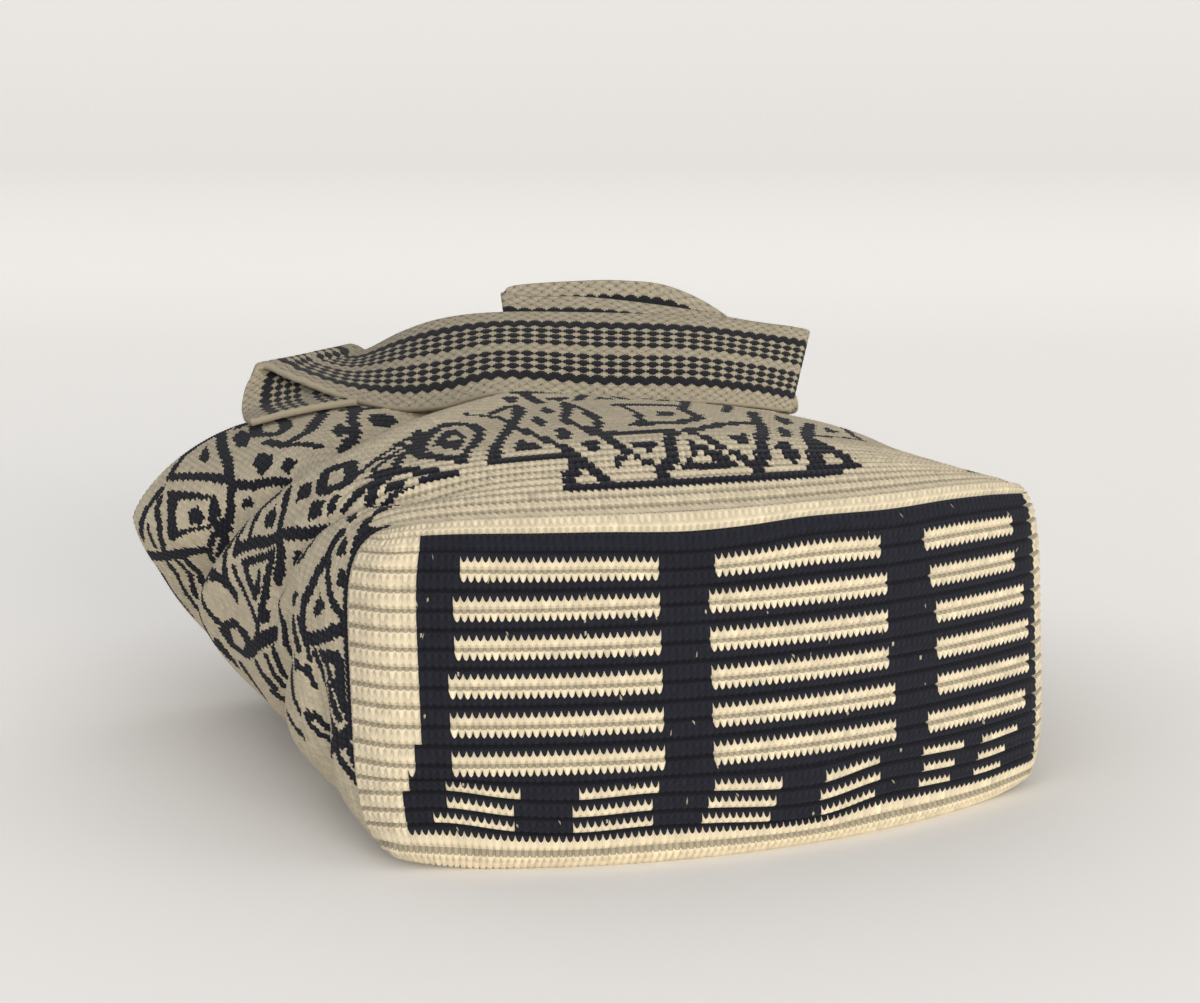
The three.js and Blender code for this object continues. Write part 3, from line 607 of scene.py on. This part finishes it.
def buildBody():
    b = body
    # a fine grid of the skin, read back at each stitch's own place
    fineU, fineV = b["fineGrid"]
    u, v = np.arange(fineU) / fineU, np.linspace(0, 1, fineV)
    fine = np.array([ringPoints(one, u) for one in v])
    fine = fine + gridNormals(fine, True) * foldAt(u[None, :], v[:, None])[..., None]
    fine[..., 2] = np.maximum(fine[..., 2], 0)
    fineN = gridNormals(fine, True)

    def read(table, uu, vv):
        a, c = (uu % 1) * fineU, np.clip(vv, 0, 1) * (fineV - 1)
        i, j = np.floor(a).astype(int), np.minimum(np.floor(c).astype(int), fineV - 2)
        fa, fc = (a - i)[..., None], (c - j)[..., None]
        i, k = i % fineU, (i + 1) % fineU
        return ((table[j, i] * (1 - fa) + table[j, k] * fa) * (1 - fc)
                + (table[j + 1, i] * (1 - fa) + table[j + 1, k] * fa) * fc)

    # one more round below the first bridges to the base's edge
    gx, gy = stitchGrid(b["stitches"], b["rounds"] + 1, b["subColumns"], b["subRows"], True)
    gy = gy - 1
    amid = (gy > 0) & (gy < b["rounds"])
    py = gy + np.where(amid, b["point"] * (np.abs(2 * (gx % 1) - 1) - 0.5), 0)
    px = gx + b["lean"] * (gy % 1)
    uu, vv = px / b["stitches"], py / b["rounds"]
    across, along = lobes(gx, gy)
    height = b["lobeShare"] * across * along + (1 - b["lobeShare"]) * along
    # in the plain rounds next to the base every second round stands out as a twisted cord
    plain = np.interp(gy, *zip(*b["plainRounds"])) * np.interp(gx, *zip(*b["plainStitches"]))
    cord = np.abs(np.cos(np.pi * gy / 2)) ** 0.7 * (1 + 0.25 * np.sin(2 * np.pi * (gx + 0.6 * gy)))
    ridge = b["ridge"] * plain * (cord - 0.6)
    lift = b["relief"] * height * (1 - 0.7 * plain) + ridge - b["sink"] + b["tuck"] * np.minimum(gy, 0)
    outer = read(fine, uu, vv) + read(fineN, uu, vv) * lift[..., None]
    outer[..., 1] += bag["seam"] * np.minimum(gy, 0)
    outer[..., 2] = np.maximum(outer[..., 2], 0.0)
    faceNavy = np.concatenate([np.zeros((b["subRows"], b["stitches"] * b["subColumns"])), bodyChart()])
    tone = 1 + b["shadeSpread"] * rng.standard_normal((b["rounds"] + 1, b["stitches"]))
    # the flat level is painted shade on the top and sides; crowns and cords are lighter as painted light, and
    # darker between cords as painted shade
    flat, crownLight, ridgeLight, within = b["shades"]
    shade = flat + crownLight * faceMean(np.concatenate([height, height[:, :1]], 1))
    shade += ridgeLight * faceMean(np.concatenate([ridge, ridge[:, :1]], 1)) / b["ridge"]
    faceTone = toFaces(tone, b["subRows"], b["subColumns"]) * shade
    columns = outer.shape[1]
    step = columns // b["parts"]
    for k in range(b["parts"]):
        part = outer[:, np.arange(k * step, (k + 1) * step + 1) % columns]
        cut = slice(k * step, (k + 1) * step)
        values = {"navy": faceNavy[:, cut], "tone": faceTone[:, cut]}
        piece = makePiece("body_crochet_%d" % (k + 1), part.reshape(-1, 3),
                          gridQuads(*part.shape[:2], False), values, yarnMat)
        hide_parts("body")
    # the inside has one face to a stitch and two rounds
    iu, iv = np.meshgrid(np.arange(b["stitches"]) / b["stitches"],
                         np.arange(0, b["rounds"] + 1, 2) / b["rounds"])
    inner = read(fine, iu, iv) - read(fineN, iu, iv) * bag["wall"]
    inner[..., 2] = np.maximum(inner[..., 2], bag["wall"])
    innerNavy = faceNavy[b["subRows"] + 1::2 * b["subRows"], ::b["subColumns"]]
    inside = makePiece("body_inside", inner.reshape(-1, 3), gridQuads(*inner.shape[:2], True, True),
                       {"navy": innerNavy, "tone": tone[1::2] * within}, yarnMat)
    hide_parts("body")
    # the rim turns over from the outside to the inside
    turn = np.linspace(0, np.pi, b["rimSteps"])[:, None]
    count = 2 * b["stitches"]
    ru = np.arange(count)[None, :] / count + 0 * turn
    edge, before = np.ones(ru.shape), np.full(ru.shape, 0.97)
    middle = read(fine, ru, edge) - read(fineN, ru, edge) * bag["wall"] / 2
    swell = 1 + b["rimSwell"] * np.abs(np.sin(np.pi * b["stitches"] * ru))
    rise = read(fine, ru, edge) - read(fine, ru, before)
    rise = rise / np.linalg.norm(rise, axis=-1, keepdims=True)
    lip = (middle + read(fineN, ru, edge) * (np.cos(turn) * bag["wall"] / 2 * swell)[..., None]
           + rise * (np.sin(turn) * bag["wall"] / 2 * swell)[..., None])
    lip[..., 2] = np.maximum(lip[..., 2], 0)
    faces = b["rimSteps"] - 1, count
    rim = makePiece("body_rim", lip.reshape(-1, 3), gridQuads(*lip.shape[:2], True),
                    {"navy": np.zeros(faces), "tone": np.ones(faces)}, yarnMat)
    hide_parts("body")


buildBody()

# the strap: one woven band, 27 warps wide, folded to and fro on top of the bag
strap = {
    "width": 70.0, "thickness": 3.0, "length": 0.72, "picks": 200, "subWarp": 3, "subPick": 3,
    "relief": 0.8, "sink": 0.35, "warpWide": 0.9, "navyShare": 0.88,
    # the yarn's painted light and shade, lowered all over as painted shade on a band that faces away from the
    # light: painted shade between warps, how much more painted light on top of them, how far it varies, and
    # the level along the edges
    "shades": (0.18, 0.36, 0.05, 0.5),
    # how far the front and the back edge settle towards the bag, in millimetres, by station of the route
    "settle": [(0, 0, 0), (5, 0, 0), (6, 3, 0), (7, 8, 1), (8, 9, 5), (9, 8, 11), (10, 6, 4),
               (11, 3, 1), (12, 2, 0), (13, 4, 0), (15, 3, 0), (16, 0, 0), (28, 0, 0)],
    # each warp's colour, navy 1 and cream 0, from one edge to the other
    "warps": [0] * 4 + [1, 1] + [0, 1] * 3 + [0] * 3 + [1, 0] * 3 + [1, 1] + [0] * 4,
    # front edge: x in % of half the base width, y in % of depth, z in % of base height, heading and lean
    # of the width in degrees, span, rise of the middle in % of the width
    "route": [
        (-98, 92, 103.5, 2, 6.5, 1.00, 3), (-98, 100, 104, 2, 6.5, 1.00, 3),
        (-95, 106, 110.5, 10, 3, 1.02, 3), (-91, 109, 116, 21, 2, 1.07, 1.5),
        (-88, 108, 119, 38, 2, 1.07, 0), (-80, 102, 115.5, 56, 4, 1.03, 0),
        (-68, 95, 112.5, 66, 9, 1.00, 1.5), (-55, 87, 113, 70, 20, 1.00, 3),
        (-42, 81, 115, 72, 29, 1.00, 3), (-26, 75, 119.7, 71, 32, 1.00, 3),
        (2, 68.7, 116.2, 70, 30, 1.00, 3), (30, 66, 113, 66, 29, 1.00, 3),
        (52, 68.3, 109, 60, 28, 1.00, 1.5), (66, 71.3, 107, 56, 27, 1.00, 0),
        (70, 73.7, 105.5, 56, 27, 1.00, 0), (68, 76.3, 105.5, 57, 28, 1.00, 0),
        (54, 76.7, 107, 60, 30, 1.00, 0), (30, 74.7, 111.2, 66, 33, 1.00, 1.5),
        (5, 76.7, 114.2, 72, 35, 1.00, 1.5), (-11, 80, 114, 78, 36, 1.00, 0),
        (-16, 82.7, 114, 80, 38, 1.00, 0), (-11, 85.3, 113.5, 80, 42, 1.00, 0),
        (6, 84, 112.5, 80, 46, 1.00, 0), (23, 82.7, 111.5, 78, 48, 1.00, 0),
        (37, 82.7, 110.5, 70, 44, 1.00, 0), (44, 85.3, 109, 48, 28, 1.00, 0),
        (49, 90, 106.5, 22, 4, 1.00, 1.5), (51, 94.7, 104, 4, -8, 1.00, 3),
        (51, 100, 103.5, 0, -12, 1.00, 3),
    ],
}


def curveThrough(points, at):
    # a Catmull-Rom curve through the stations, one station to the next per unit of at
    p = np.vstack([2 * points[0] - points[1], points, 2 * points[-1] - points[-2]])
    k = np.clip(np.floor(at).astype(int), 0, len(points) - 2)
    f = (at - k)[:, None]
    a, b, c, d = p[k], p[k + 1], p[k + 2], p[k + 3]
    s, e = (c - a) / 2, (d - b) / 2
    return (2 * b - 2 * c + s + e) * f**3 + (3 * c - 3 * b - 2 * s - e) * f**2 + s * f + b


def buildStrap():
    g = strap
    route = np.array(g["route"])
    feet = route[:, :3] * [bag["baseWidth"] / 200, bag["depth"] / 100, bag["baseHeight"] / 100]
    heading, lean = np.radians(route[:, 3]), np.radians(route[:, 4])
    turn = np.pi / 2 - heading
    across = np.stack([np.cos(lean) * np.sin(turn), np.cos(lean) * np.cos(turn), np.sin(lean)], -1)
    tops = feet + across * (g["width"] * route[:, 5])[:, None]
    places = np.linspace(0, len(route) - 1, 2801)
    run = arcShares((curveThrough(feet, places) + curveThrough(tops, places)) / 2)
    warps, picks, subWarp, subPick = len(g["warps"]), g["picks"], g["subWarp"], g["subPick"]
    low, more, spread, edgeTone = g["shades"]
    at = np.interp(np.arange(picks * subPick + 1) / (picks * subPick), run, places)
    f = np.arange(warps * subWarp + 1) / (warps * subWarp)
    foot, top = curveThrough(feet, at), curveThrough(tops, at)
    bow = smoothThrough(np.arange(len(route)), route[:, 6], at) * g["width"] / 100
    middle = foot[:, None] * (1 - f[None, :, None]) + top[:, None] * f[None, :, None]
    station, front, back = zip(*g["settle"])
    front, back = smoothThrough(station, front, at)[:, None], smoothThrough(station, back, at)[:, None]
    middle[..., 2] += bow[:, None] * 4 * (f * (1 - f))[None] - front * (1 - f)[None] - back * f[None]
    n = gridNormals(middle, False)

    def weave(x, y, side):
        # the nearest warp that is up here, how high it stands and its colour
        best, colour = np.full(x.shape, 9.0), np.zeros(x.shape)
        for dw in (-1, 0, 1):
            for dp in (-1, 0, 1):
                w, p = np.floor(x) + dw, np.floor(y) + dp
                up = (w + p) % 2 == side
                far = ((x - w - 0.5) / g["warpWide"]) ** 2 + (y - p - 0.5) ** 2
                tint = np.array(g["warps"])[np.clip(w, 0, warps - 1).astype(int)]
                far = np.where(up, far * np.where(tint > 0.5, g["navyShare"], 1.0), 9.0)
                nearer = far < best
                colour = np.where(nearer, tint, colour)
                best = np.minimum(best, far)
        return np.sqrt(np.maximum(0, 1 - best)), colour

    cx, cy = np.meshgrid(f * warps, np.arange(picks * subPick + 1) / subPick)
    fx, fy = (cx[1:, 1:] + cx[:-1, :-1]) / 2, (cy[1:, 1:] + cy[:-1, :-1]) / 2
    skins, navy, tone = [], [], []
    for side, sign in ((0, 1), (1, -1)):
        height = weave(np.clip(cx, 0.01, warps - 0.01), cy, side)[0]
        skins.append(middle + sign * n * (g["thickness"] / 2 - g["sink"] + g["relief"] * height)[..., None])
        lift, colour = weave(fx, fy, side)
        navy.append(colour.ravel())
        # painted shade between warps and painted light on top of them, with a random spread
        tone.append((low + more * lift + spread * rng.standard_normal(fx.shape)).ravel())
    rows, columns = middle.shape[:2]
    count = rows * columns
    ids = np.arange(count).reshape(rows, columns)
    quads = [gridQuads(rows, columns, False), gridQuads(rows, columns, False, True) + count]
    for edge, flip in ((ids[:, 0], False), (ids[:, -1], True), (ids[0], True), (ids[-1], False)):
        wall = np.stack([edge[:-1], edge[1:], edge[1:] + count, edge[:-1] + count], -1)
        quads.append(wall[:, ::-1] if flip else wall)
        navy.append(np.zeros(len(wall)))
        tone.append(np.full(len(wall), edgeTone))
    points = np.concatenate([skin.reshape(-1, 3) for skin in skins])
    piece = makePiece("strap_woven", points, np.concatenate(quads),
                      {"navy": np.concatenate(navy), "tone": np.concatenate(tone)}, yarnMat)
    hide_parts("shoulder_strap")


buildStrap()

# floor and backdrop in one pale sweep, a low soft light from the front right. The sweep's own glow lights
# nothing, so the ground stays pale and the bag keeps a plain light
stage = {
    "floor": (0.88, 0.855, 0.80), "wall": (0.32, 0.308, 0.283), "rough": 0.9, "shine": 0.1,
    "glow": (0.31, 0.51), "glowColor": (1, 0.98, 0.95), "shadowReach": 0.22, "shadowDepth": 2.5,
    "sun": 2.75, "sunSoft": 40.0, "sunFrom": (0.18, -0.98, 0.05), "sunColor": (1, 0.96, 0.88),
    "horizon": 1.35, "zenith": 0.12, "worldColor": (0.94, 0.97, 1.08), "room": (0.8, 0.785, 0.755),
    "halfWide": 200.0, "turnHeight": 0.2, "turned": -20.0,
    "profile": [(-200.0, 0.0), (1.6, 0.0), (2.1, 0.07), (2.5, 0.28), (2.9, 0.7), (3.1, 1.3), (3.15, 2.1),
                (3.15, 19.0)],
}


def seenRay(nodes, links):
    # 1 for what the camera sees, also in metal and glass
    path = nodes.new("ShaderNodeLightPath")
    either, seen = nodes.new("ShaderNodeMath"), nodes.new("ShaderNodeMath")
    either.operation = seen.operation = "MAXIMUM"
    links.new(path.outputs["Is Camera Ray"], either.inputs[0])
    links.new(path.outputs["Is Glossy Ray"], either.inputs[1])
    links.new(either.outputs["Value"], seen.inputs[0])
    links.new(path.outputs["Is Transmission Ray"], seen.inputs[1])
    return seen.outputs["Value"]


def sweepMaterial():
    mat = bpy.data.materials.new("sweep")
    mat.use_nodes = True
    nodes, links = mat.node_tree.nodes, mat.node_tree.links
    bsdf = nodes["Principled BSDF"]
    bsdf.inputs["Roughness"].default_value = stage["rough"]
    bsdf.inputs["Specular IOR Level"].default_value = stage["shine"]
    bsdf.inputs["Emission Color"].default_value = (*stage["glowColor"], 1)
    coords, split = nodes.new("ShaderNodeTexCoord"), nodes.new("ShaderNodeSeparateXYZ")
    links.new(coords.outputs["Object"], split.inputs["Vector"])
    # from floor to wall by height
    up = nodes.new("ShaderNodeMapRange")
    up.inputs["From Max"].default_value = stage["turnHeight"]
    links.new(split.outputs["Z"], up.inputs["Value"])
    tone = nodes.new("ShaderNodeMix")
    tone.data_type = "RGBA"
    tone.inputs["A"].default_value = (*stage["floor"], 1)
    tone.inputs["B"].default_value = (*stage["wall"], 1)
    links.new(up.outputs["Result"], tone.inputs["Factor"])
    links.new(tone.outputs["Result"], bsdf.inputs["Base Color"])
    fade = nodes.new("ShaderNodeMapRange")
    fade.inputs["To Min"].default_value, fade.inputs["To Max"].default_value = stage["glow"]
    links.new(up.outputs["Result"], fade.inputs["Value"])
    glow = nodes.new("ShaderNodeMath")
    glow.operation = "MULTIPLY"
    links.new(seenRay(nodes, links), glow.inputs[0])
    links.new(fade.outputs["Result"], glow.inputs[1])
    # close to the bag the glow fades with the bag's occlusion, a painted shadow that deepens the bag's own
    # shadow
    near = nodes.new("ShaderNodeAmbientOcclusion")
    free, kept = nodes.new("ShaderNodeMath"), nodes.new("ShaderNodeMath")
    near.samples = 4
    near.inputs["Distance"].default_value = stage["shadowReach"]
    free.operation, kept.operation = "POWER", "MULTIPLY"
    free.inputs[1].default_value = stage["shadowDepth"]
    links.new(near.outputs["AO"], free.inputs[0])
    links.new(free.outputs["Value"], kept.inputs[0])
    links.new(glow.outputs["Value"], kept.inputs[1])
    links.new(kept.outputs["Value"], bsdf.inputs["Emission Strength"])
    return mat


def worldLight():
    # a room's light, brighter towards the horizon than overhead, and a pale room where it is seen
    world = bpy.data.worlds.new("studio")
    world.use_nodes = True
    nodes, links = world.node_tree.nodes, world.node_tree.links
    background, seen = nodes["Background"], seenRay(nodes, links)
    coords, split = nodes.new("ShaderNodeTexCoord"), nodes.new("ShaderNodeSeparateXYZ")
    up = nodes.new("ShaderNodeMapRange")
    up.inputs["To Min"].default_value, up.inputs["To Max"].default_value = stage["horizon"], stage["zenith"]
    links.new(coords.outputs["Generated"], split.inputs["Vector"])
    links.new(split.outputs["Z"], up.inputs["Value"])
    color, strength = nodes.new("ShaderNodeMix"), nodes.new("ShaderNodeMix")
    color.data_type = "RGBA"
    links.new(seen, color.inputs[0])
    links.new(seen, strength.inputs[0])
    color.inputs["A"].default_value = (*stage["worldColor"], 1)
    color.inputs["B"].default_value = (*stage["room"], 1)
    links.new(up.outputs["Result"], strength.inputs["A"])
    strength.inputs["B"].default_value = 1.0
    links.new(color.outputs["Result"], background.inputs["Color"])
    links.new(strength.outputs["Result"], background.inputs["Strength"])
    return world


def buildStage():
    wide = stage["halfWide"]
    # turned so that its wall faces the camera
    c, s = math.cos(math.radians(stage["turned"])), math.sin(math.radians(stage["turned"]))
    points = [(x * c - y * s, x * s + y * c, z) for y, z in stage["profile"] for x in (-wide, wide)]
    faces = [(2 * k, 2 * k + 1, 2 * k + 3, 2 * k + 2) for k in range(len(stage["profile"]) - 1)]
    mesh = bpy.data.meshes.new("sweep")
    mesh.from_pydata(points, [], faces)
    mesh.shade_smooth()
    mesh.materials.append(sweepMaterial())
    sweep = bpy.data.objects.new("sweep", mesh)
    scene.collection.objects.link(sweep)
    data = bpy.data.lights.new("sun", "SUN")
    data.energy, data.color, data.angle = stage["sun"], stage["sunColor"], math.radians(stage["sunSoft"])
    sun = bpy.data.objects.new("sun", data)
    sun.rotation_euler = Vector(stage["sunFrom"]).to_track_quat("Z", "Y").to_euler()
    scene.collection.objects.link(sun)
    scene.world = worldLight()


buildStage()

# camera at the photograph's angle
camera = {
    "azimuth": -20.0, "elevation": 11.2, "distance": 922.0, "target": (-43.1, 78.0, 140.1), "lens": 62.4,
}


def buildCamera():
    az, el = math.radians(camera["azimuth"]), math.radians(camera["elevation"])
    back = Vector((math.sin(az) * math.cos(el), -math.cos(az) * math.cos(el), math.sin(el)))
    target = Vector((np.array(camera["target"]) + shift) / 1000)
    data = bpy.data.cameras.new("camera")
    data.lens, data.sensor_width = camera["lens"], 36.0
    cam = bpy.data.objects.new("camera", data)
    cam.location = target + back * camera["distance"] / 1000
    cam.rotation_euler = (-back).to_track_quat("-Z", "Y").to_euler()
    scene.collection.objects.link(cam)
    scene.camera = cam


buildCamera()
scene.view_settings.view_transform = "Standard"
